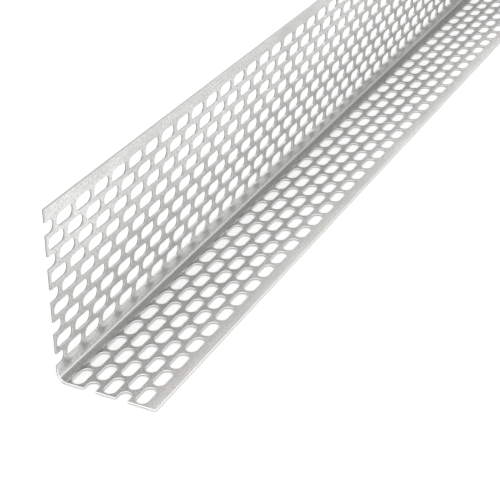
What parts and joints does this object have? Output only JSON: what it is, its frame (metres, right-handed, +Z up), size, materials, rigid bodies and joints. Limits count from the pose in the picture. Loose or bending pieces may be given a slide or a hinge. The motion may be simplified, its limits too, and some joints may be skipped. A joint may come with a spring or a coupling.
{
  "type": "perforated ventilation angle",
  "caption": "Long thin aluminium angle folded to a right angle, both legs punched with staggered long holes to let air through and keep insects out at a facade or eaves gap.",
  "frame": {"origin": "middle of the footprint, on the floor", "axes": "+X along the length, +Y towards the standing leg, +Z up"},
  "size_m": [0.504, 0.0308, 0.0529],
  "materials": {
    "mill_finish_aluminium": "mill-finish rolled sheet, satin, with bright punched and sheared edges"
  },
  "bodies": {
    "root": {"perforated_angle": "mill_finish_aluminium"}
  },
  "joints": []
}
